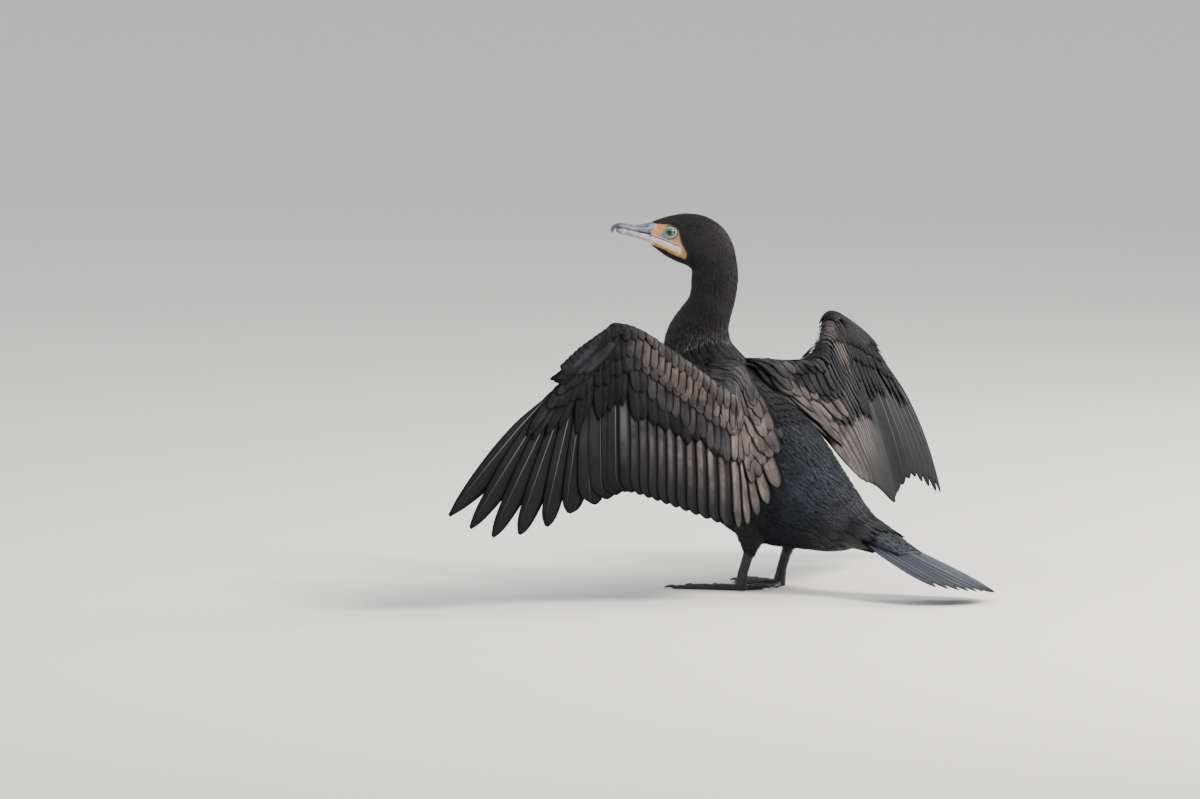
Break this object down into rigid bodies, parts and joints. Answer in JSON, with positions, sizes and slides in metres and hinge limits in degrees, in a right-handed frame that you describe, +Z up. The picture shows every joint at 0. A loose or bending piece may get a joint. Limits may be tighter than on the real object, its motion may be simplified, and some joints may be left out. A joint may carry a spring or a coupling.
{
  "type": "cormorant model",
  "caption": "Life-size slender freshwater cormorant standing with both wings held out to dry, head turned to its left, long stiff tail and fully webbed feet flat on the floor.",
  "frame": {"origin": "on the floor, under the middle of the box around the whole bird", "axes": "+Z up, +Y the way the body faces, +X to the bird's right, along which the open wings reach furthest"},
  "size_m": [0.6956, 0.3838, 0.3388],
  "materials": {
    "body_plumage": "black feathers with a faint blue-green gloss",
    "neck_plumage": "dull brown-black short feathers",
    "wing_feathers": "grey-brown vanes with dark edges, satin",
    "tail_feathers": "stiff slate-black vanes, satin",
    "bill": "grey horn with a dark ridge, satin",
    "eye": "wet green-blue iris with a dark pupil",
    "leg_skin": "black scaled skin, slightly glossy",
    "claw": "black horn"
  },
  "bodies": {
    "root": {"torso": "body_plumage", "neck_lower": "neck_plumage", "neck_upper": "neck_plumage", "head": "neck_plumage", "eye_left": "eye", "eye_right": "eye", "bill_upper": "bill", "bill_lower": "bill", "wing_left_upper": "wing_feathers", "wing_left_upper_front": "wing_feathers", "wing_left_forearm": "wing_feathers", "wing_left_forearm_front": "wing_feathers", "wing_left_hand": "wing_feathers", "wing_right_upper": "wing_feathers", "wing_right_upper_front": "wing_feathers", "wing_right_forearm": "wing_feathers", "wing_right_forearm_front": "wing_feathers", "wing_right_hand": "wing_feathers", "tail": "tail_feathers", "thigh_left": "body_plumage", "thigh_right": "body_plumage", "leg_left": "leg_skin", "leg_right": "leg_skin", "foot_left": "leg_skin", "foot_right": "leg_skin", "claw_left_hallux": "claw", "claw_left_inner": "claw", "claw_left_middle": "claw", "claw_left_outer": "claw", "claw_right_hallux": "claw", "claw_right_inner": "claw", "claw_right_middle": "claw", "claw_right_outer": "claw"}
  },
  "joints": []
}
